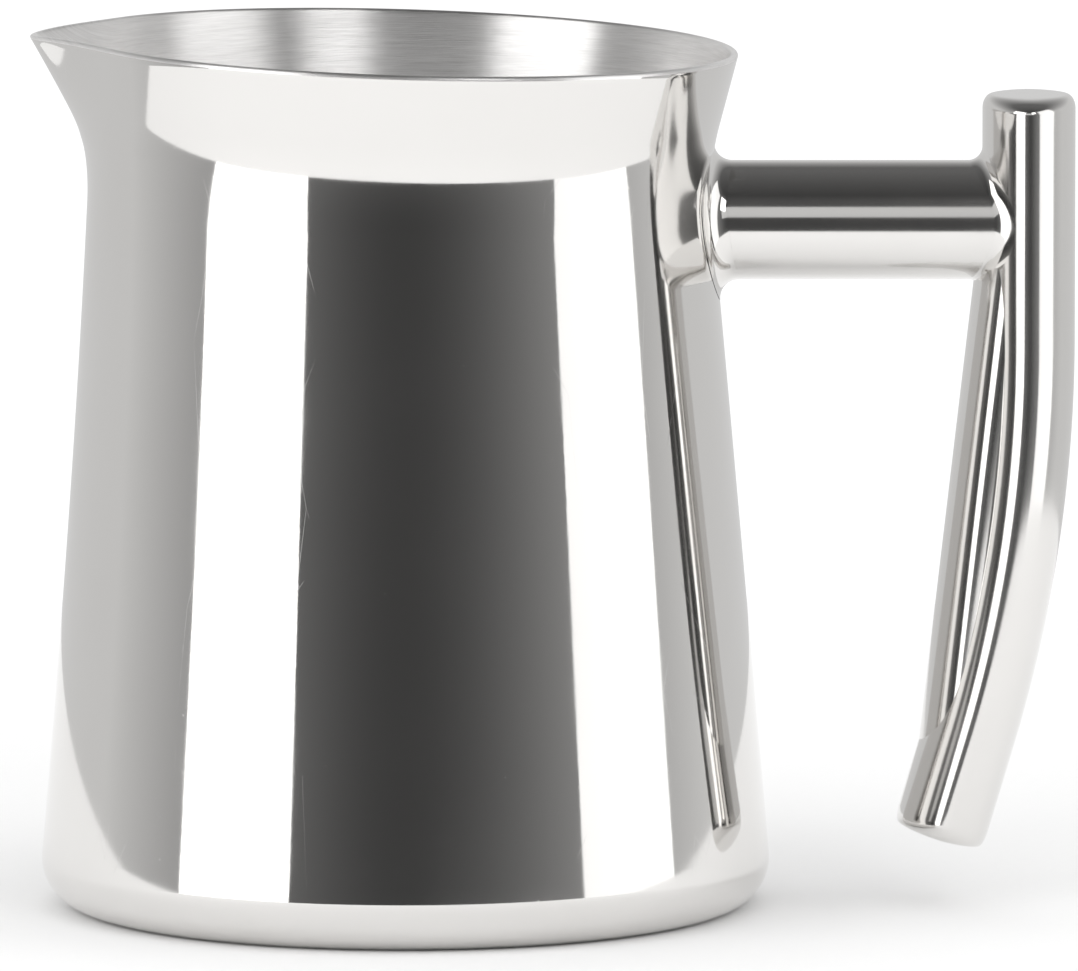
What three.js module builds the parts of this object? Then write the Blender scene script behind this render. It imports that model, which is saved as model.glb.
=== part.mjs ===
// Milk frothing pitcher: a drawn steel jug with a formed pouring lip and a hanging handle.
// Millimetres. +Z up, origin on the cup's axis at the bottom face, handle towards +X,
// pouring lip towards -X.
import * as THREE from 'three';
import { mergeVertices } from 'three/addons/utils/BufferGeometryUtils.js';

const DEGREE = Math.PI / 180;

// Driving dimensions of the cup
const SHEET = 0.9; // wall, floor and rim thickness
const CUP_RADIUS = 45.9; // outside, at the widest point just above the floor
const FOOT_BEND = 6; // outer radius of the bend from floor to wall
const WALL_LEAN = 5.07 * DEGREE; // the wall leans inwards by this much as it rises
const WAIST_HEIGHT = 91.5; // the narrowest level
const WAIST_BEND = 34; // radius of the bend from wall to flare
const FLARE_LEAN = 14.6 * DEGREE; // the flare leans outwards by this much
const RIM_HEIGHT = 109.3; // top of the rim above the axis
const RIM_SLOPE = 0.03; // the rim rises towards the pouring lip

// Driving dimensions of the pouring lip
const LIP_REACH = 5.35; // how far the tip stands out from the round rim
const LIP_HALF_ANGLE = 29 * DEGREE; // at the rim, from the tip to where the lip leaves the circle
const LIP_ROOT_ANGLE = 19 * DEGREE; // the same where the lip begins, down on the flare
const LIP_TIP_ANGLE = 4 * DEGREE; // half-angle over which the tip is rounded
const LIP_ROOT = 96.3; // height where the lip begins
const LIP_ROOT_SOFTNESS = 1.5; // height over which it comes in
const LIP_DIP = 0.45; // the tip sits a little below the rim's plane
const SWELL = 1.6; // outward swell of the wall below the lip, at the lip's root
const SWELL_START = 12;
const SWELL_HALF_ANGLE = 60 * DEGREE;

// Driving dimensions of the handle
const ARM_RADIUS = 7.5;
const ARM_HEIGHT = 86.8;
const ARM_WALL = 1.2;
const GRIP_OFFSET = 78.4; // from the cup's axis to the middle of the upright grip
const GRIP_HALF_WIDTH = 5.85; // in the plane of the handle
const GRIP_HALF_DEPTH = 9.5;
const GRIP_FULLNESS = 1.6; // 2 is an ellipse; less makes the front and back more pointed
const GRIP_WALL = 1.2;
const GRIP_TOP = 102.7;
const GRIP_BEND_START = 71.7; // below this the grip curves in towards the cup
const GRIP_BEND = 175;
const GRIP_BEND_ANGLE = 16.6 * DEGREE;
const GRIP_END_HEIGHT = 8.95; // middle of the lower end
const CAP_THICKNESS = 4;
// Rounding of each cap's edge: its height along the grip, how far it reaches in at the narrow
// sides, and how far at the front and back.
const TOP_EDGE = { height: 1.8, side: 1.2, front: 4 };
const BOTTOM_EDGE = { height: 2.2, side: 0.5, front: 2.2 };
const CUP_WELD_LEG = 2.3;
const GRIP_WELD_LEG = 1.5;
const GRIP_WELD_LEG_THIN = 0.9; // where the arm meets the grip's steep flanks
const GAP = 0.3; // between pieces that are welded together

// Mesh density
const CUP_SEGMENTS = 72;
const ARM_SEGMENTS = 40;
const GRIP_SEGMENTS = 32;

const STEEL = 0xc9c8c5;
const STEEL_ROUGHNESS = 0.12;
const WELD_STEEL = 0xbcbab6;
const WELD_ROUGHNESS = 0.2;

const clamp01 = (value) => Math.min(1, Math.max(0, value));

function smoothStep(from, to, value) {
  const share = clamp01((value - from) / (to - from));
  return share * share * (3 - 2 * share);
}

function steel(color, roughness) {
  return new THREE.MeshStandardMaterial({ color, roughness, metalness: 1 });
}

function solid(name, geometry, material) {
  geometry.deleteAttribute('normal');
  geometry.deleteAttribute('uv');
  const mesh = new THREE.Mesh(mergeVertices(geometry, 1e-4), material);
  mesh.name = name;
  return mesh;
}

function moveVertices(geometry, move) {
  const position = geometry.getAttribute('position');
  const point = new THREE.Vector3();
  for (let index = 0; index < position.count; index += 1) {
    point.fromBufferAttribute(position, index);
    move(point);
    position.setXYZ(index, point.x, point.y, point.z);
  }
  return geometry;
}

function arcPoints(centre, radius, fromAngle, toAngle, steps) {
  return Array.from({ length: steps + 1 }, (_, step) => {
    const angle = fromAngle + ((toAngle - fromAngle) * step) / steps;
    return new THREE.Vector2(
      centre.x + radius * Math.cos(angle),
      centre.y + radius * Math.sin(angle),
    );
  });
}

function linePoints(from, to, steps) {
  return Array.from({ length: steps - 1 }, (_, step) => (
    new THREE.Vector2().lerpVectors(from, to, (step + 1) / steps)
  ));
}

// The wall's section, as (radius, height). Both bends keep their centres whatever the inset,
// so a profile drawn at an inset runs parallel to the outside of the sheet.
const footCentre = new THREE.Vector2(CUP_RADIUS - FOOT_BEND, FOOT_BEND);
const waistCentre = (() => {
  const wallFoot = footCentre.x + FOOT_BEND * Math.cos(WALL_LEAN);
  const wallFootHeight = footCentre.y + FOOT_BEND * Math.sin(WALL_LEAN);
  const wallTopHeight = WAIST_HEIGHT - WAIST_BEND * Math.sin(WALL_LEAN);
  const wallTop = wallFoot - (wallTopHeight - wallFootHeight) * Math.tan(WALL_LEAN);
  return new THREE.Vector2(wallTop + WAIST_BEND * Math.cos(WALL_LEAN), WAIST_HEIGHT);
})();

function flarePoint(inset, height) {
  const bend = WAIST_BEND + inset;
  const startHeight = waistCentre.y + bend * Math.sin(FLARE_LEAN);
  const startRadius = waistCentre.x - bend * Math.cos(FLARE_LEAN);
  return new THREE.Vector2(startRadius + (height - startHeight) * Math.tan(FLARE_LEAN), height);
}

function wallSection(inset, topHeight) {
  const foot = arcPoints(footCentre, FOOT_BEND - inset, -Math.PI / 2, 0, 5);
  foot.push(arcPoints(footCentre, FOOT_BEND - inset, 0, WALL_LEAN, 1).at(-1));
  const waist = arcPoints(
    waistCentre, WAIST_BEND + inset, Math.PI + WALL_LEAN, Math.PI - FLARE_LEAN, 4,
  );
  const top = flarePoint(inset, topHeight);
  return [
    ...foot,
    ...linePoints(foot.at(-1), waist[0], 5),
    ...waist,
    ...linePoints(waist.at(-1), top, 3),
    top,
  ];
}

// Outside radius of the cup at a height on its wall or flare, away from the pouring lip
function cupRadius(height) {
  const above = height - waistCentre.y;
  if (above > WAIST_BEND * Math.sin(FLARE_LEAN)) {
    return flarePoint(0, height).x;
  }
  if (above < -WAIST_BEND * Math.sin(WALL_LEAN)) {
    const wallTop = waistCentre.x - WAIST_BEND * Math.cos(WALL_LEAN);
    return wallTop - (above + WAIST_BEND * Math.sin(WALL_LEAN)) * Math.tan(WALL_LEAN);
  }
  return waistCentre.x - Math.sqrt(WAIST_BEND ** 2 - above ** 2);
}

function cupSection() {
  const edgeRadius = SHEET / 2;
  const edgeHeight = RIM_HEIGHT - edgeRadius;
  const edgeDrop = edgeRadius * Math.sin(FLARE_LEAN);
  const outside = wallSection(0, edgeHeight - edgeDrop);
  const inside = wallSection(SHEET, edgeHeight + edgeDrop);
  const edge = arcPoints(
    flarePoint(edgeRadius, edgeHeight), edgeRadius, -FLARE_LEAN, Math.PI - FLARE_LEAN, 4,
  );
  return [
    new THREE.Vector2(0, 0),
    ...outside,
    ...edge.slice(1, -1),
    ...inside.reverse(),
    new THREE.Vector2(0, SHEET),
  ];
}

// How far the V of the pouring lip stands out from a circle, as a share of its reach
function lipShare(angle, halfAngle) {
  const rise = (softAngle) => 1 / Math.cos(Math.max(0, halfAngle - softAngle)) - 1;
  return rise(Math.hypot(angle, LIP_TIP_ANGLE)) / rise(LIP_TIP_ANGLE);
}

function formPouringLip(point) {
  const radius = Math.hypot(point.x, point.y);
  const angle = Math.atan2(point.y, -point.x);
  const swellHeight = clamp01((point.z - SWELL_START) / (LIP_ROOT - SWELL_START)) ** 2
    * (1 - clamp01((point.z - LIP_ROOT) / (RIM_HEIGHT - LIP_ROOT)));
  const swellAngle = Math.cos(Math.min(1, Math.abs(angle) / SWELL_HALF_ANGLE) * (Math.PI / 2)) ** 2;
  const aboveRoot = point.z - LIP_ROOT;
  const lipHeight = (aboveRoot + Math.hypot(aboveRoot, LIP_ROOT_SOFTNESS)) / 2
    / (RIM_HEIGHT - LIP_ROOT);
  const lipAngle = LIP_ROOT_ANGLE + (LIP_HALF_ANGLE - LIP_ROOT_ANGLE) * clamp01(lipHeight);
  const lip = lipHeight * lipShare(angle, lipAngle);
  const reach = SWELL * swellHeight * swellAngle + LIP_REACH * lip * smoothStep(0, SHEET, radius)
    * smoothStep(WAIST_HEIGHT - WAIST_BEND, WAIST_HEIGHT, point.z);
  if (radius > 0) {
    point.x *= 1 + reach / radius;
    point.y *= 1 + reach / radius;
  }
  const lift = smoothStep(WAIST_HEIGHT - WAIST_BEND, RIM_HEIGHT, point.z);
  point.z += -point.x * RIM_SLOPE * lift - LIP_DIP * clamp01(lip) ** 2;
}

function bodyShell() {
  const geometry = new THREE.LatheGeometry(cupSection(), CUP_SEGMENTS);
  geometry.rotateX(Math.PI / 2);
  return solid('body_shell', moveVertices(geometry, formPouringLip), steel(STEEL, STEEL_ROUGHNESS));
}

// Outer faces that the arm runs between, as the X of the surface at (y, height)
function cupFace(y, height) {
  return Math.sqrt(cupRadius(height) ** 2 - y ** 2);
}

function gripFace(y) {
  return GRIP_OFFSET - GRIP_HALF_WIDTH * (1 - (y / GRIP_HALF_DEPTH) ** 2) ** (1 / GRIP_FULLNESS);
}

// Turns a profile of (radius, distance along the arm) about the arm's axis
function turnAboutArm(profile) {
  const geometry = new THREE.LatheGeometry(profile, ARM_SEGMENTS);
  geometry.rotateZ(-Math.PI / 2);
  return geometry;
}

function handleArm() {
  const bore = ARM_RADIUS - ARM_WALL;
  const profile = [
    new THREE.Vector2(bore, 0),
    new THREE.Vector2(ARM_RADIUS, 0),
    new THREE.Vector2(ARM_RADIUS, 1),
    new THREE.Vector2(bore, 1),
    new THREE.Vector2(bore, 0),
  ];
  const geometry = moveVertices(turnAboutArm(profile), (point) => {
    const onCup = point.x < 1 / 2;
    point.z += ARM_HEIGHT;
    point.x = onCup ? cupFace(point.y, point.z) + GAP : gripFace(point.y) - GAP;
  });
  return solid('handle_arm', geometry, steel(STEEL, STEEL_ROUGHNESS));
}

// Hollow-faced fillet in the corner between the arm and a face, drawn for a leg of one:
// radii count from the arm's surface, distances from the face.
function filletProfile() {
  const hollow = arcPoints(new THREE.Vector2(1, 1), 1, Math.PI, (Math.PI * 3) / 2, 5);
  return [new THREE.Vector2(0, 0), ...hollow, new THREE.Vector2(0, 0)];
}

function weldRing(name, direction, face, legAt) {
  const corners = filletProfile().map((corner) => new THREE.Vector2(1 + corner.x, corner.y));
  const profile = direction > 0 ? corners.reverse() : corners;
  const geometry = moveVertices(turnAboutArm(profile), (point) => {
    const turn = Math.atan2(point.z, point.y);
    const leg = legAt(Math.abs(Math.sin(turn)));
    const radius = ARM_RADIUS + GAP + (Math.hypot(point.y, point.z) - 1) * leg;
    point.y = radius * Math.cos(turn);
    point.z = radius * Math.sin(turn) + ARM_HEIGHT;
    point.x = face(point.y, point.z) + direction * (GAP + point.x * leg);
  });
  return solid(name, geometry, steel(WELD_STEEL, WELD_ROUGHNESS));
}

function armToBodyWeld() {
  return weldRing('arm_to_body_weld', 1, cupFace, () => CUP_WELD_LEG);
}

function armToGripWeld() {
  const thicker = GRIP_WELD_LEG - GRIP_WELD_LEG_THIN;
  const leg = (steepness) => GRIP_WELD_LEG_THIN + thicker * steepness ** 2;
  return weldRing('arm_to_grip_weld', -1, gripFace, leg);
}

// Centreline of the grip: straight down, a bend in the handle's plane, then straight again.
// Returns the point at a distance below the top, and how far the line has turned there.
function gripLine(distance) {
  const straight = GRIP_TOP - GRIP_BEND_START;
  const turn = Math.min(GRIP_BEND_ANGLE, Math.max(0, (distance - straight) / GRIP_BEND));
  const beforeBend = Math.min(distance, straight);
  const afterBend = Math.max(0, distance - straight - GRIP_BEND * GRIP_BEND_ANGLE);
  return {
    x: GRIP_OFFSET - GRIP_BEND * (1 - Math.cos(turn)) - afterBend * Math.sin(turn),
    z: GRIP_TOP - beforeBend - GRIP_BEND * Math.sin(turn) - afterBend * Math.cos(turn),
    turn,
  };
}

const gripLength = (() => {
  const bendEnd = GRIP_BEND_START - GRIP_BEND * Math.sin(GRIP_BEND_ANGLE);
  return GRIP_TOP - GRIP_BEND_START + GRIP_BEND * GRIP_BEND_ANGLE
    + (bendEnd - GRIP_END_HEIGHT) / Math.cos(GRIP_BEND_ANGLE);
})();

// Carries a shape drawn along a straight vertical line, with z = -distance, onto the centreline
function bendToGrip(point) {
  const line = gripLine(-point.z);
  point.set(
    line.x + point.x * Math.cos(line.turn),
    point.y,
    line.z - point.x * Math.sin(line.turn),
  );
}

// A point on the grip's oval section at an angle about its middle
function sectionPoint(angle, halfWidth, halfDepth) {
  const across = Math.cos(angle);
  const depth = Math.sqrt(1 - Math.abs(across) ** GRIP_FULLNESS) * Math.sign(Math.sin(angle));
  return new THREE.Vector2(across * halfWidth, depth * halfDepth);
}

function gripSection(inset) {
  return Array.from({ length: GRIP_SEGMENTS }, (_, step) => {
    const angle = (step * 2 * Math.PI) / GRIP_SEGMENTS;
    return sectionPoint(angle, GRIP_HALF_WIDTH - inset, GRIP_HALF_DEPTH - inset);
  });
}

function handleGrip() {
  const section = new THREE.Shape(gripSection(0));
  section.holes.push(new THREE.Path(gripSection(GRIP_WALL)));
  const depth = gripLength - 2 * (CAP_THICKNESS + GAP);
  const geometry = new THREE.ExtrudeGeometry(section, { depth, steps: 14, bevelEnabled: false });
  geometry.translate(0, 0, -depth - CAP_THICKNESS - GAP);
  return solid('handle_grip', moveVertices(geometry, bendToGrip), steel(STEEL, STEEL_ROUGHNESS));
}

// A lid on the grip's end, flat inside, with a rounded outer edge. Its rings are drawn as
// (turn over the edge, height) and spread to the grip's section.
function capGeometry(edge) {
  const steps = 5;
  const overEdge = Array.from({ length: steps + 1 }, (_, step) => (step / steps) * (Math.PI / 2));
  const rings = [
    { share: 0, turn: 0, height: 0 },
    { share: 1, turn: 0, height: 0 },
    ...overEdge.map((turn) => (
      { share: 1, turn, height: CAP_THICKNESS - edge.height * (1 - Math.sin(turn)) }
    )),
    { share: 0, turn: Math.PI / 2, height: CAP_THICKNESS },
  ];
  const profile = rings.map((ring, index) => new THREE.Vector2(ring.share, index));
  const geometry = new THREE.LatheGeometry(profile, GRIP_SEGMENTS);
  geometry.rotateX(Math.PI / 2);
  return moveVertices(geometry, (point) => {
    const ring = rings[Math.round(point.z)];
    const inset = 1 - Math.cos(ring.turn);
    const corner = sectionPoint(
      Math.atan2(point.y, point.x),
      ring.share * (GRIP_HALF_WIDTH - edge.side * inset),
      ring.share * (GRIP_HALF_DEPTH - edge.front * inset),
    );
    point.set(corner.x, corner.y, ring.height);
  });
}

function gripTopCap() {
  const geometry = capGeometry(TOP_EDGE).translate(0, 0, -CAP_THICKNESS);
  return solid('grip_top_cap', moveVertices(geometry, bendToGrip), steel(STEEL, STEEL_ROUGHNESS));
}

function gripBottomCap() {
  const geometry = capGeometry(BOTTOM_EDGE).rotateX(Math.PI);
  geometry.translate(0, 0, CAP_THICKNESS - gripLength);
  return solid('grip_bottom_cap', moveVertices(geometry, bendToGrip), steel(STEEL, STEEL_ROUGHNESS));
}

const pitcher = new THREE.Group();
pitcher.name = 'milk_frothing_pitcher';
pitcher.add(
  bodyShell(),
  handleArm(),
  armToBodyWeld(),
  handleGrip(),
  armToGripWeld(),
  gripTopCap(),
  gripBottomCap(),
);

export default pitcher;
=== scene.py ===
"""Looks of the milk frothing pitcher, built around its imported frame.

Metres, +Z up. The cup's axis is the Z axis, the handle points towards +X and the lip towards -X.
"""

import math
from collections import namedtuple

import bpy
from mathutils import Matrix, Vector


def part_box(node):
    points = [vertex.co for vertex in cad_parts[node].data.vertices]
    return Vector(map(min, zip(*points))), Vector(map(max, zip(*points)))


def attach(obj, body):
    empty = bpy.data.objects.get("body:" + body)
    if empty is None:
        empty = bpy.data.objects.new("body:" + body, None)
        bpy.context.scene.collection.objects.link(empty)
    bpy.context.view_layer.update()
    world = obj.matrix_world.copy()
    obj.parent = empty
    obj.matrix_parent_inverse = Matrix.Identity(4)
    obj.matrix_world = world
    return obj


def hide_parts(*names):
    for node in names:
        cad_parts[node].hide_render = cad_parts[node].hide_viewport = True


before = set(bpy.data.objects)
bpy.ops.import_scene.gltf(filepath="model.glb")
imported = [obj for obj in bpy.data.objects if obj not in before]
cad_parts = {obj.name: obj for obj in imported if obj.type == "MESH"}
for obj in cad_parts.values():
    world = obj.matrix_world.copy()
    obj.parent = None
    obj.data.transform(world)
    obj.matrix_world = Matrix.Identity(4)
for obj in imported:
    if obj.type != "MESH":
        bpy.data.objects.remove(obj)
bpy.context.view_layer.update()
MM = 0.001

# ---------------------------------------------------------------- dimensions

_, cup_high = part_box("body_shell")
arm_low, arm_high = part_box("handle_arm")
_, grip_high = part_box("handle_grip")
cap_low, cap_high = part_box("grip_top_cap")

SHEET = 0.9 * MM
CUP_RADIUS = cup_high.x
FOOT_BEND = 6 * MM
WALL_LEAN = math.radians(5.07)
WAIST_HEIGHT = 91.5 * MM
WAIST_BEND = 34 * MM
FLARE_LEAN = math.radians(14.6)
RIM_HEIGHT = 109.27 * MM  # a hair under the CAD's, so the finer mesh stays inside its box
RIM_SLOPE = 0.03

LIP_REACH = 5.32 * MM  # a hair under the CAD's, for the same reason
LIP_HALF_ANGLE = math.radians(29)
LIP_ROOT_ANGLE = math.radians(19)
LIP_TIP_ANGLE = math.radians(4)
LIP_ROOT = 96.3 * MM
LIP_ROOT_SOFTNESS = 1.5 * MM
LIP_DIP = 0.45 * MM
SWELL = 1.6 * MM  # how far the wall is drawn out below the lip
SWELL_START = 12 * MM
SWELL_HALF_ANGLE = math.radians(60)

ARM_RADIUS = (arm_high.z - arm_low.z) / 2
ARM_HEIGHT = (arm_high.z + arm_low.z) / 2
ARM_WALL = 1.2 * MM
GRIP_OFFSET = (cap_high.x + cap_low.x) / 2
GRIP_HALF_WIDTH = (cap_high.x - cap_low.x) / 2
GRIP_HALF_DEPTH = grip_high.y
GRIP_FULLNESS = 1.6  # 2 is an ellipse; less makes the front and back more pointed
GRIP_WALL = 1.2 * MM
GRIP_TOP = cap_high.z
GRIP_BEND_START = 71.7 * MM
GRIP_BEND = 175 * MM
GRIP_BEND_ANGLE = math.radians(16.6)
GRIP_END_HEIGHT = 8.95 * MM
CAP_THICKNESS = cap_high.z - cap_low.z
# Rounding of a cap's edge: its height along the grip, how far it reaches in at the narrow
# sides, and how far at the front and back.
CapEdge = namedtuple("CapEdge", "height side front")
TOP_EDGE = CapEdge(1.8 * MM, 1.2 * MM, 4 * MM)
BOTTOM_EDGE = CapEdge(2.2 * MM, 0.5 * MM, 2.2 * MM)
# A weld's legs start on the steel, where the CAD's stand 0.3 mm off it, and reach as far.
CUP_WELD_LEG = 2.6 * MM
GRIP_WELD_LEG = 1.8 * MM
GRIP_WELD_LEG_THIN = 1.2 * MM

# ---------------------------------------------------------------- mesh tools

SHARP_ANGLE = math.radians(40)  # a steeper turn between two faces is an edge


def clamp(value, low=0.0, high=1.0):
    return min(high, max(low, value))


def smooth_step(start, end, value):
    share = clamp((value - start) / (end - start))
    return share * share * (3 - 2 * share)


def arc(centre, radius, start, end, steps):
    """Points (x, y) on an arc, both ends included."""
    x, y = centre
    angles = [start + (end - start) * step / steps for step in range(steps + 1)]
    return [(x + radius * math.cos(angle), y + radius * math.sin(angle)) for angle in angles]


def between(first, last, steps):
    """Points that divide a line into steps, both ends left out."""
    shares = [step / steps for step in range(1, steps)]
    return [
        tuple(start + (end - start) * share for start, end in zip(first, last))
        for share in shares
    ]


def turned_mesh(name, section, segments, place, closed=False, zones=None):
    """A surface turned from a section of (radius, along) points.

    place(radius, along, angle) puts each point. A radius of 0 is a pole with one vertex.
    closed joins the last point to the first. zones gives each step of the section its
    material index.
    """
    vertices, rows = [], []
    for radius, along in section:
        if radius == 0:
            rows.append([len(vertices)] * segments)
            vertices.append(place(0, along, 0))
            continue
        rows.append(list(range(len(vertices), len(vertices) + segments)))
        for step in range(segments):
            vertices.append(place(radius, along, 2 * math.pi * step / segments))
    faces, face_zones = [], []
    last = len(rows) if closed else len(rows) - 1
    for index in range(last):
        low, high = rows[index], rows[(index + 1) % len(rows)]
        for step in range(segments):
            ahead = (step + 1) % segments
            corners = [low[step], low[ahead], high[ahead], high[step]]
            faces.append(list(dict.fromkeys(corners)))  # two corners are one vertex at a pole
            face_zones.append(zones[index] if zones else 0)
    mesh = bpy.data.meshes.new(name)
    mesh.from_pydata(vertices, [], faces)
    mesh.polygons.foreach_set("material_index", face_zones)
    mesh.polygons.foreach_set("use_smooth", [True] * len(faces))
    mesh.set_sharp_from_angle(angle=SHARP_ANGLE)
    mesh.update()
    piece = bpy.data.objects.new(name, mesh)
    bpy.context.scene.collection.objects.link(piece)
    return piece


def hand_over(piece, node, materials):
    """The piece takes the CAD node's place and rides on the pitcher's one body."""
    for material in materials:
        piece.data.materials.append(material)
    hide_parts(node)
    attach(piece, "root")


# ---------------------------------------------------------------- cup

FOOT_CENTRE = (CUP_RADIUS - FOOT_BEND, FOOT_BEND)
WALL_FOOT = FOOT_CENTRE[0] + FOOT_BEND * math.cos(WALL_LEAN)
WALL_FOOT_HEIGHT = FOOT_CENTRE[1] + FOOT_BEND * math.sin(WALL_LEAN)
WALL_TOP_HEIGHT = WAIST_HEIGHT - WAIST_BEND * math.sin(WALL_LEAN)
WALL_TOP = WALL_FOOT - (WALL_TOP_HEIGHT - WALL_FOOT_HEIGHT) * math.tan(WALL_LEAN)
WAIST_CENTRE = (WALL_TOP + WAIST_BEND * math.cos(WALL_LEAN), WAIST_HEIGHT)
# Steps that each stretch of the cup's section is divided into.
FOOT_STEPS = 18
WALL_FOOT_STEPS = 2
WALL_STEPS = 40
WAIST_STEPS = 22
FLARE_STEPS = 14
RIM_EDGE_STEPS = 10


def flare_point(inset, height):
    """The flare's point at a height, at that inset from the outside of the sheet."""
    bend = WAIST_BEND + inset
    start_height = WAIST_CENTRE[1] + bend * math.sin(FLARE_LEAN)
    start_radius = WAIST_CENTRE[0] - bend * math.cos(FLARE_LEAN)
    return start_radius + (height - start_height) * math.tan(FLARE_LEAN), height


def cup_radius(height):
    """Outside radius at a height on the wall or flare, away from the lip."""
    above = height - WAIST_HEIGHT
    if above > WAIST_BEND * math.sin(FLARE_LEAN):
        return flare_point(0, height)[0]
    if above < -WAIST_BEND * math.sin(WALL_LEAN):
        return WALL_TOP + (WALL_TOP_HEIGHT - height) * math.tan(WALL_LEAN)
    return WAIST_CENTRE[0] - math.sqrt(WAIST_BEND ** 2 - above ** 2)


def wall_section(inset, top_height):
    """The wall from floor to rim, parallel to the outside of the sheet at that inset."""
    foot = arc(FOOT_CENTRE, FOOT_BEND - inset, -math.pi / 2, 0, FOOT_STEPS)
    foot += arc(FOOT_CENTRE, FOOT_BEND - inset, 0, WALL_LEAN, WALL_FOOT_STEPS)[1:]
    waist_start, waist_end = math.pi + WALL_LEAN, math.pi - FLARE_LEAN
    waist = arc(WAIST_CENTRE, WAIST_BEND + inset, waist_start, waist_end, WAIST_STEPS)
    wall = between(foot[-1], waist[0], WALL_STEPS)
    top = flare_point(inset, top_height)
    flare = between(waist[-1], top, FLARE_STEPS)
    return [*foot, *wall, *waist, *flare, top]


def lip_share(angle, half_angle):
    """How far the V of the lip stands out from a circle, as a share of its reach."""
    def rise(soft_angle):
        return 1 / math.cos(max(0.0, half_angle - soft_angle)) - 1
    return rise(math.hypot(angle, LIP_TIP_ANGLE)) / rise(LIP_TIP_ANGLE)


def place_on_cup(radius, height, turn):
    """A point of the round cup, moved to where the forming of the lip and rim takes it."""
    x, y = radius * math.cos(turn), radius * math.sin(turn)
    angle = math.atan2(y, -x)
    swell_height = clamp((height - SWELL_START) / (LIP_ROOT - SWELL_START)) ** 2
    swell_height *= 1 - clamp((height - LIP_ROOT) / (RIM_HEIGHT - LIP_ROOT))
    swell_angle = math.cos(min(1, abs(angle) / SWELL_HALF_ANGLE) * math.pi / 2) ** 2
    above_root = height - LIP_ROOT
    lip_height = (above_root + math.hypot(above_root, LIP_ROOT_SOFTNESS)) / 2
    lip_height /= RIM_HEIGHT - LIP_ROOT
    lip_angle = LIP_ROOT_ANGLE + (LIP_HALF_ANGLE - LIP_ROOT_ANGLE) * clamp(lip_height)
    lip = lip_height * lip_share(angle, lip_angle)
    lip *= smooth_step(WAIST_HEIGHT - WAIST_BEND, WAIST_HEIGHT, height)
    reach = SWELL * swell_height * swell_angle + LIP_REACH * lip
    if radius > 0:
        x *= 1 + reach / radius
        y *= 1 + reach / radius
    lift = smooth_step(WAIST_HEIGHT - WAIST_BEND, RIM_HEIGHT, height)
    return Vector((x, y, height - x * RIM_SLOPE * lift - LIP_DIP * clamp(lip) ** 2))


POLISHED, BRUSHED = 0, 1
CUP_SEGMENTS = 320


def body_shell(materials):
    edge_radius = SHEET / 2
    edge_height = RIM_HEIGHT - edge_radius
    edge_drop = edge_radius * math.sin(FLARE_LEAN)
    outside = wall_section(0, edge_height - edge_drop)
    inside = wall_section(SHEET, edge_height + edge_drop)[::-1]
    edge_centre = flare_point(edge_radius, edge_height)
    edge = arc(edge_centre, edge_radius, -FLARE_LEAN, math.pi - FLARE_LEAN, RIM_EDGE_STEPS)[1:-1]
    section = [(0, 0), *outside, *edge, *inside, (0, SHEET)]
    brushed_from = len(outside)  # the rim's rounded edge has the same finish as the inside
    zones = [BRUSHED if index >= brushed_from else POLISHED for index in range(len(section))]
    piece = turned_mesh("pitcher_cup", section, CUP_SEGMENTS, place_on_cup, zones=zones)
    hand_over(piece, "body_shell", materials)


# ---------------------------------------------------------------- handle

ARM_SEGMENTS = 160
GRIP_SEGMENTS = 128
# Steps that each stretch of a section is divided into.
ARM_STEPS = 24
WELD_STEPS = 36
GRIP_STEPS = 90
CAP_EDGE_STEPS = 16
CAP_FACE_STEPS = 6


def cup_face(y, height):
    """X of the cup's outside on the handle's side."""
    return math.sqrt(cup_radius(height) ** 2 - y ** 2)


def grip_face(y, _height):
    """X of the grip's side that faces the cup, the same all along the grip's straight part."""
    width = (1 - (y / GRIP_HALF_DEPTH) ** 2) ** (1 / GRIP_FULLNESS)
    return GRIP_OFFSET - GRIP_HALF_WIDTH * width


def place_on_arm(radius, along, turn):
    """along is 0 on the cup and 1 on the grip."""
    y, z = radius * math.cos(turn), ARM_HEIGHT + radius * math.sin(turn)
    start, end = cup_face(y, z), grip_face(y, z)
    return Vector((start + (end - start) * along, y, z))


def handle_arm(materials):
    bore = ARM_RADIUS - ARM_WALL
    outside = [(ARM_RADIUS, step / ARM_STEPS) for step in range(ARM_STEPS + 1)]
    section = [(bore, 0), *outside, (bore, 1)]
    piece = turned_mesh("pitcher_arm", section, ARM_SEGMENTS, place_on_arm, closed=True)
    hand_over(piece, "handle_arm", materials)


def weld_ring(name, node, direction, face, leg_at, materials):
    """A hollow-faced fillet in the corner between the arm and a face.

    direction is the way along X that the arm leaves the face. leg_at(steepness) gives the leg's
    length, with a steepness of 0 at the arm's sides and 1 at its top and bottom.
    """
    def place(across, along, turn):
        leg = leg_at(abs(math.sin(turn)))
        radius = ARM_RADIUS + (across - 1) * leg
        y, z = radius * math.cos(turn), ARM_HEIGHT + radius * math.sin(turn)
        return Vector((face(y, z) + direction * along * leg, y, z))

    hollow = arc((2, 1), 1, math.pi, 1.5 * math.pi, WELD_STEPS)
    section = [(1, 0), *hollow]
    piece = turned_mesh(name, section, ARM_SEGMENTS, place, closed=True)
    hand_over(piece, node, materials)


def arm_to_body_weld(materials):
    def leg(_steepness):
        return CUP_WELD_LEG

    weld_ring("weld_at_cup", "arm_to_body_weld", 1, cup_face, leg, materials)


def arm_to_grip_weld(materials):
    def leg(steepness):
        return GRIP_WELD_LEG_THIN + (GRIP_WELD_LEG - GRIP_WELD_LEG_THIN) * steepness ** 2

    weld_ring("weld_at_grip", "arm_to_grip_weld", -1, grip_face, leg, materials)


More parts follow.
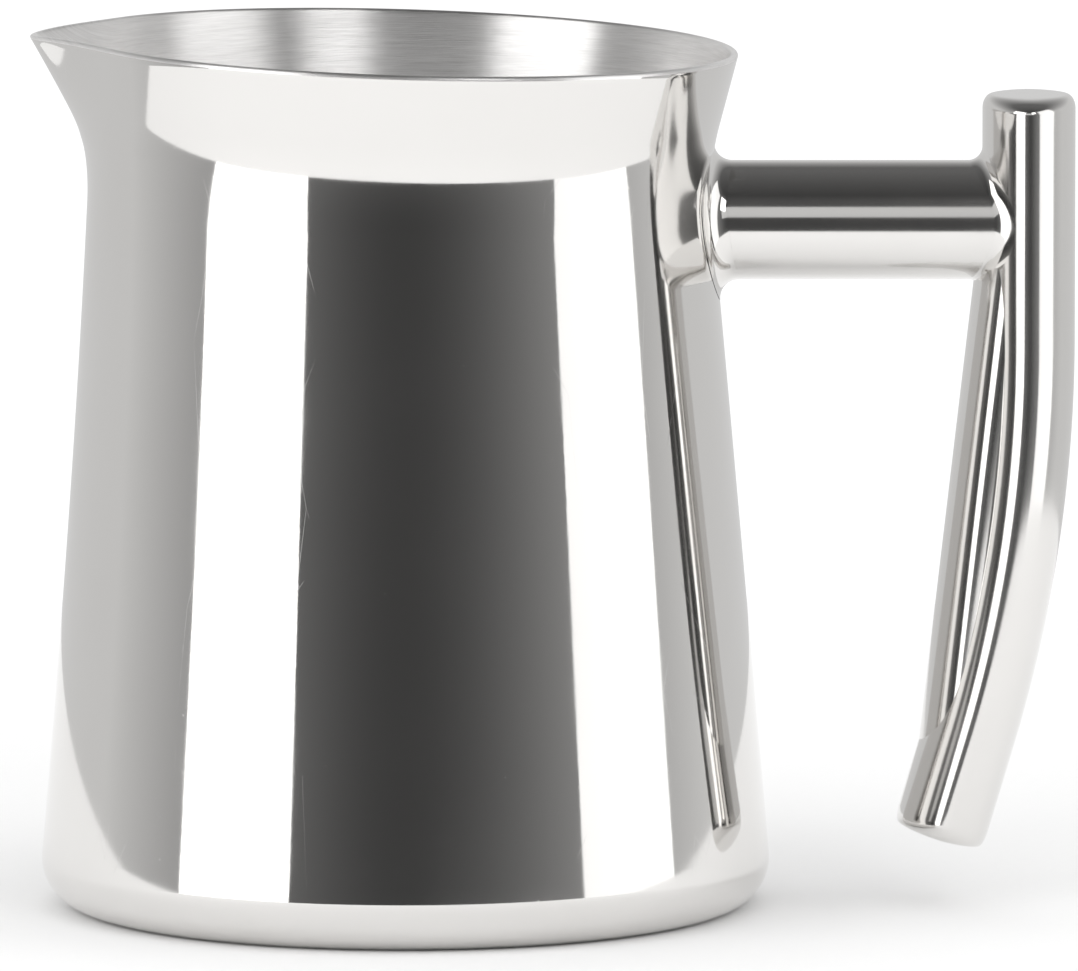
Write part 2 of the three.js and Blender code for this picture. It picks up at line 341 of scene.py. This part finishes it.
def grip_line(distance):
    """Middle of the grip at a distance below its top: x, z and how far it has turned."""
    straight = GRIP_TOP - GRIP_BEND_START
    turn = clamp((distance - straight) / GRIP_BEND, 0, GRIP_BEND_ANGLE)
    before, after = min(distance, straight), max(0, distance - straight - GRIP_BEND * GRIP_BEND_ANGLE)
    x = GRIP_OFFSET - GRIP_BEND * (1 - math.cos(turn)) - after * math.sin(turn)
    z = GRIP_TOP - before - GRIP_BEND * math.sin(turn) - after * math.cos(turn)
    return x, z, turn


GRIP_BEND_END = GRIP_BEND_START - GRIP_BEND * math.sin(GRIP_BEND_ANGLE)
GRIP_LENGTH = (
    GRIP_TOP - GRIP_BEND_START
    + GRIP_BEND * GRIP_BEND_ANGLE
    + (GRIP_BEND_END - GRIP_END_HEIGHT) / math.cos(GRIP_BEND_ANGLE)
)


def place_in_grip(half_width, half_depth, distance, turn):
    """A point on a section of the grip, at a distance below its top."""
    across = math.cos(turn)
    depth = math.copysign(math.sqrt(1 - abs(across) ** GRIP_FULLNESS), math.sin(turn))
    across *= half_width
    x, z, bend = grip_line(distance)
    return Vector((x + across * math.cos(bend), depth * half_depth, z - across * math.sin(bend)))


def place_on_grip(share, distance, turn):
    """share is 1 on the grip's outer surface and 0 on its middle line."""
    return place_in_grip(share * GRIP_HALF_WIDTH, share * GRIP_HALF_DEPTH, distance, turn)


def handle_grip(materials):
    first, last = CAP_THICKNESS, GRIP_LENGTH - CAP_THICKNESS
    outside = [(1, first + (last - first) * step / GRIP_STEPS) for step in range(GRIP_STEPS + 1)]
    bore = 1 - GRIP_WALL / GRIP_HALF_WIDTH
    section = [(bore, first), *outside, (bore, last)]
    piece = turned_mesh("pitcher_grip", section, GRIP_SEGMENTS, place_on_grip, closed=True)
    hand_over(piece, "handle_grip", materials)


def grip_cap(name, node, end, inward, edge, materials):
    """A lid in an end of the grip, with its edge rounded over.

    end is how far the cap's outer face is below the grip's top. inward is 1 for the upper cap
    and -1 for the lower one, because the grip goes on below the one and above the other.
    """
    base = end + inward * CAP_THICKNESS

    def place(share, height, turn):
        over = clamp(1 - (CAP_THICKNESS - height) / edge.height)
        inset = 1 - math.sqrt(1 - over ** 2)
        half_width = share * (GRIP_HALF_WIDTH - edge.side * inset)
        half_depth = share * (GRIP_HALF_DEPTH - edge.front * inset)
        return place_in_grip(half_width, half_depth, base - inward * height, turn)

    rounding = [
        (1, CAP_THICKNESS - edge.height * (1 - math.sin(step / CAP_EDGE_STEPS * math.pi / 2)))
        for step in range(CAP_EDGE_STEPS + 1)
    ]
    face = [(step / CAP_FACE_STEPS, CAP_THICKNESS) for step in range(CAP_FACE_STEPS - 1, 0, -1)]
    section = [(0, 0), (1, 0), *rounding, *face, (0, CAP_THICKNESS)]
    piece = turned_mesh(name, section, GRIP_SEGMENTS, place)
    hand_over(piece, node, materials)


# ---------------------------------------------------------------- materials

STEEL_COLOUR = (0.78, 0.768, 0.752, 1)
STEEL_SHADE = (0.745, 0.732, 0.715, 1)
SATIN_COLOUR = (0.9, 0.89, 0.88, 1)
SATIN_SHADE = (0.76, 0.75, 0.74, 1)
PAPER_COLOUR = (0.87, 0.87, 0.87, 1)
PAPER_SHADE = (0.85, 0.85, 0.85, 1)
NOISE_LOW, NOISE_HIGH = 0.3, 0.7  # most of a noise's values lie between these


class Nodes:
    """Adds nodes to a material's tree and joins them up."""

    def __init__(self, name):
        self.material = bpy.data.materials.new(name)
        self.material.use_nodes = True
        self.tree = self.material.node_tree
        self.shader = self.tree.nodes["Principled BSDF"]
        self.place = self.add("ShaderNodeTexCoord").outputs["Object"]

    def add(self, kind, inputs=None, **settings):
        """A node with its settings, and its inputs given as values or as sockets to join."""
        node = self.tree.nodes.new(kind)
        for key, value in settings.items():
            setattr(node, key, value)
        for key, value in (inputs or {}).items():
            self.join(value, node.inputs[key])
        return node

    def join(self, value, socket):
        if isinstance(value, bpy.types.NodeSocket):
            self.tree.links.new(value, socket)
        else:
            socket.default_value = value

    def stretched(self, scale):
        """Object coordinates, scaled along each axis."""
        return self.add("ShaderNodeMapping", {"Vector": self.place, "Scale": scale}).outputs["Vector"]

    def circled(self, fineness):
        """Object coordinates that change much faster across circles about Z than along them."""
        flat = self.stretched((1, 1, 0))
        radius = self.add("ShaderNodeVectorMath", {"Vector": flat}, operation="LENGTH").outputs["Value"]
        parts = self.add("ShaderNodeSeparateXYZ", {"Vector": self.place}).outputs
        across = self.math("MULTIPLY", self.math("SUBTRACT", parts["Z"], radius), fineness)
        inputs = {"X": parts["X"], "Y": parts["Y"], "Z": across}
        return self.add("ShaderNodeCombineXYZ", inputs).outputs["Vector"]

    def noise(self, vector, scale, detail):
        inputs = {"Vector": vector, "Scale": scale, "Detail": detail}
        return self.add("ShaderNodeTexNoise", inputs).outputs["Fac"]

    def span(self, value, low, high, to_low, to_high):
        """value from low..high carried to to_low..to_high and held there."""
        inputs = {
            "Value": value, "From Min": low, "From Max": high, "To Min": to_low, "To Max": to_high,
        }
        return self.add("ShaderNodeMapRange", inputs).outputs["Result"]

    def spread(self, noise, low, high):
        """A noise's usual values carried to low..high."""
        return self.span(noise, NOISE_LOW, NOISE_HIGH, low, high)

    def math(self, operation, first, second):
        node = self.add("ShaderNodeMath", operation=operation)
        self.join(first, node.inputs[0])
        self.join(second, node.inputs[1])
        return node.outputs["Value"]

    def colour(self, share, first, second):
        """A mix of two colours. A Mix node's sockets for colours are 6 and 7 in, and 2 out."""
        node = self.add("ShaderNodeMix", data_type="RGBA")
        self.join(share, node.inputs[0])
        self.join(first, node.inputs[6])
        self.join(second, node.inputs[7])
        return node.outputs[2]

    def bump(self, height, depth, below=None):
        """The normal of a surface raised by height times depth, on top of the bumps below."""
        inputs = {"Height": height, "Distance": depth}
        if below is not None:
            inputs["Normal"] = below
        return self.add("ShaderNodeBump", inputs).outputs["Normal"]

    def finish(self, **inputs):
        """Sets the shader's inputs, with _ for a space in their names, and gives the material."""
        for key, value in inputs.items():
            self.join(value, self.shader.inputs[key.replace("_", " ")])
        return self.material


def hairlines(nodes, scale, turn, width):
    """Fine straight scratches: 1 on a scratch and 0 beside it."""
    mapping = nodes.add("ShaderNodeMapping", {
        "Vector": nodes.place, "Rotation": turn, "Scale": scale,
    })
    lines = nodes.add("ShaderNodeTexVoronoi", {
        "Vector": mapping.outputs["Vector"], "Scale": 1.0, "Randomness": 1.0,
    }, feature="DISTANCE_TO_EDGE")
    return nodes.span(lines.outputs["Distance"], 0, width, 1, 0)


def specks(nodes, scale, core, edge):
    """Tiny round spots: 1 within core and 0 outside edge, both as shares of the spots' spacing."""
    spots = nodes.add("ShaderNodeTexVoronoi", {"Vector": nodes.place, "Scale": scale})
    return nodes.span(spots.outputs["Distance"], core, edge, 1, 0)


def polished_steel():
    """Mirror polish with faint scratches and a few duller specks."""
    nodes = Nodes("polished_steel")
    cloud = nodes.noise(nodes.place, scale=60, detail=4)
    wave = nodes.noise(nodes.stretched((1, 1, 0.5)), scale=45, detail=1)
    grain = nodes.noise(nodes.stretched((1, 1, 0.25)), scale=2600, detail=2)
    scratches = hairlines(nodes, scale=(160, 160, 45), turn=(0.5, 0.2, 0.7), width=0.0015)
    speck = specks(nodes, scale=260, core=0.02, edge=0.045)
    normal = nodes.bump(wave, depth=0.03 * MM)
    normal = nodes.bump(grain, depth=0.0006 * MM, below=normal)
    marks = nodes.math("ADD", scratches, speck)
    normal = nodes.bump(marks, depth=0.0005 * MM, below=normal)
    speck_dullness = nodes.math("MULTIPLY", speck, 0.12)
    roughness = nodes.math("ADD", nodes.spread(cloud, 0.03, 0.075), speck_dullness)
    return nodes.finish(
        Base_Color=nodes.colour(cloud, STEEL_COLOUR, STEEL_SHADE),
        Metallic=1.0,
        Roughness=roughness,
        Normal=normal,
    )


def handle_steel():
    """Polished less finely than the cup, with its polishing marks along the grip."""
    nodes = Nodes("handle_steel")
    cloud = nodes.noise(nodes.place, scale=90, detail=4)
    grain = nodes.noise(nodes.stretched((1, 1, 0.15)), scale=2200, detail=2)
    return nodes.finish(
        Base_Color=nodes.colour(cloud, STEEL_COLOUR, STEEL_SHADE),
        Metallic=1.0,
        Roughness=nodes.spread(cloud, 0.1, 0.14),
        Normal=nodes.bump(grain, depth=0.0008 * MM),
    )


def brushed_steel():
    """Satin finish, brushed in circles round the cup."""
    nodes = Nodes("brushed_steel")
    streaks = nodes.noise(nodes.circled(30), scale=110, detail=4)
    fine = nodes.noise(nodes.circled(40), scale=300, detail=2)
    cloud = nodes.noise(nodes.place, scale=50, detail=3)
    lines = nodes.math("ADD", streaks, fine)
    tangent = nodes.add("ShaderNodeTangent", direction_type="RADIAL", axis="Z")
    shade = nodes.span(lines, 0.7, 1.3, 0, 1)
    return nodes.finish(
        Base_Color=nodes.colour(shade, SATIN_SHADE, SATIN_COLOUR),
        Metallic=1.0,
        Roughness=nodes.spread(cloud, 0.3, 0.35),
        Anisotropic=0.85,
        Anisotropic_Rotation=0.25,
        Tangent=tangent.outputs["Tangent"],
        Normal=nodes.bump(lines, depth=0.02 * MM),
    )


def weld_steel():
    """A polished weld, which keeps a faint ripple."""
    nodes = Nodes("weld_steel")
    ripple = nodes.noise(nodes.place, scale=900, detail=3)
    cloud = nodes.noise(nodes.place, scale=250, detail=3)
    return nodes.finish(
        Base_Color=nodes.colour(cloud, STEEL_COLOUR, STEEL_SHADE),
        Metallic=1.0,
        Roughness=nodes.spread(cloud, 0.06, 0.11),
        Normal=nodes.bump(ripple, depth=0.002 * MM),
    )


def paper():
    """The floor's matt white paper."""
    nodes = Nodes("paper")
    fibre = nodes.noise(nodes.place, scale=700, detail=4)
    return nodes.finish(
        Base_Color=nodes.colour(fibre, PAPER_SHADE, PAPER_COLOUR),
        Roughness=0.9,
        Normal=nodes.bump(fibre, depth=0.02 * MM),
    )


steel = polished_steel()
handle = handle_steel()
satin = brushed_steel()
weld = weld_steel()
body_shell([steel, satin])
handle_arm([handle])
handle_grip([handle])
arm_to_body_weld([weld])
arm_to_grip_weld([weld])
grip_cap("grip_cap_top", "grip_top_cap", 0, 1, TOP_EDGE, [handle])
grip_cap("grip_cap_bottom", "grip_bottom_cap", GRIP_LENGTH, -1, BOTTOM_EDGE, [handle])

# ---------------------------------------------------------------- studio

FLOOR_RADIUS = 0.3
FLOOR_SEGMENTS = 96
EVEN_LIGHT = 1.08  # the white background, which also lights the floor
# Plain studio walls as polished steel sees them: dim behind the camera, light behind the pitcher.
FRONT_WALL = 0.07
BACK_WALL = 0.85
CEILING_SHARE = 0.2  # how much of the walls' light is left overhead
# Where the light changes, in the parts of a direction one unit long: Y is -1 straight to the
# camera's side and 1 straight away from it, and Z is 1 straight up.
FRONT_WALL_Y, BACK_WALL_Y = -1, 0.4
WALLS_TOP_Z, CEILING_Z = 0.3, 0.8
SOFTBOX_DISTANCE = 0.9
SOFTBOX_AIM = Vector((0, 0, CUP_RADIUS))  # a little below the middle of the cup


def softbox(name, angle, height, width, tall, brightness):
    """A soft rectangular light that faces the pitcher.

    angle is in degrees from the camera's side towards the handle, and height is its middle's.
    brightness is its radiance, so that a perfect mirror shows 1 as white.
    """
    data = bpy.data.lights.new(name, "AREA")
    data.shape = "RECTANGLE"
    data.size = width
    data.size_y = tall
    data.energy = brightness * math.pi * width * tall
    item = bpy.data.objects.new(name, data)
    turn = math.radians(angle)
    item.location = (SOFTBOX_DISTANCE * math.sin(turn), -SOFTBOX_DISTANCE * math.cos(turn), height)
    towards = SOFTBOX_AIM - item.location
    item.rotation_euler = towards.to_track_quat("-Z", "Y").to_euler()
    item.visible_camera = False
    bpy.context.scene.collection.objects.link(item)


def floor(material):
    turns = [2 * math.pi * step / FLOOR_SEGMENTS for step in range(FLOOR_SEGMENTS)]
    rim = [(FLOOR_RADIUS * math.cos(turn), FLOOR_RADIUS * math.sin(turn), 0) for turn in turns]
    mesh = bpy.data.meshes.new("floor")
    mesh.from_pydata(rim, [], [list(range(FLOOR_SEGMENTS))])
    mesh.materials.append(material)
    item = bpy.data.objects.new("floor", mesh)
    bpy.context.scene.collection.objects.link(item)


def surround():
    """An even white background, which lights the floor, and grey walls seen in reflections."""
    world = bpy.data.worlds.new("studio")
    bpy.context.scene.world = world
    world.use_nodes = True
    nodes, links = world.node_tree.nodes, world.node_tree.links

    def carried(source, low, high, to_low, to_high):
        node = nodes.new("ShaderNodeMapRange")
        links.new(source, node.inputs["Value"])
        node.inputs["From Min"].default_value = low
        node.inputs["From Max"].default_value = high
        node.inputs["To Min"].default_value = to_low
        node.inputs["To Max"].default_value = to_high
        return node.outputs["Result"]

    direction = nodes.new("ShaderNodeSeparateXYZ")
    links.new(nodes.new("ShaderNodeTexCoord").outputs["Generated"], direction.inputs["Vector"])
    strength = nodes.new("ShaderNodeMath")
    strength.operation = "MULTIPLY"
    around = carried(direction.outputs["Y"], FRONT_WALL_Y, BACK_WALL_Y, FRONT_WALL, BACK_WALL)
    upwards = carried(direction.outputs["Z"], WALLS_TOP_Z, CEILING_Z, 1, CEILING_SHARE)
    links.new(around, strength.inputs[0])
    links.new(upwards, strength.inputs[1])
    walls = nodes.new("ShaderNodeBackground")
    links.new(strength.outputs["Value"], walls.inputs["Strength"])
    even = nodes["Background"]
    even.inputs["Color"].default_value = (1, 1, 1, 1)
    even.inputs["Strength"].default_value = EVEN_LIGHT
    choice = nodes.new("ShaderNodeMixShader")
    links.new(nodes.new("ShaderNodeLightPath").outputs["Is Glossy Ray"], choice.inputs["Fac"])
    links.new(even.outputs["Background"], choice.inputs[1])
    links.new(walls.outputs["Background"], choice.inputs[2])
    links.new(choice.outputs["Shader"], nodes["World Output"].inputs["Surface"])


def studio():
    floor(paper())
    surround()
    softbox("key_light", angle=-55, height=0.2, width=0.65, tall=1.2, brightness=1.8)
    softbox("fill_light", angle=75, height=0.2, width=0.6, tall=1.2, brightness=1.05)
    softbox("high_light", angle=30, height=0.65, width=0.45, tall=0.4, brightness=2.2)
    softbox("front_light", angle=0, height=0.42, width=1.3, tall=0.34, brightness=0.6)


# ---------------------------------------------------------------- camera

CAMERA_DISTANCE = 2.4
CAMERA_ELEVATION = math.radians(7.1)
CAMERA_LENS = 636.4
AIM = Vector((16.84 * MM, 0, 53.1 * MM))  # the middle of the view


def camera():
    data = bpy.data.cameras.new("camera")
    data.sensor_width = 36
    data.lens = CAMERA_LENS
    data.clip_start = 0.1
    data.clip_end = 20
    item = bpy.data.objects.new("camera", data)
    back = Vector((0, -math.cos(CAMERA_ELEVATION), math.sin(CAMERA_ELEVATION)))
    item.location = AIM + back * CAMERA_DISTANCE
    item.rotation_euler = (math.pi / 2 - CAMERA_ELEVATION, 0, 0)
    bpy.context.scene.collection.objects.link(item)
    bpy.context.scene.camera = item


camera()
studio()
bpy.context.scene.view_settings.view_transform = "Standard"

bpy.context.view_layer.update()
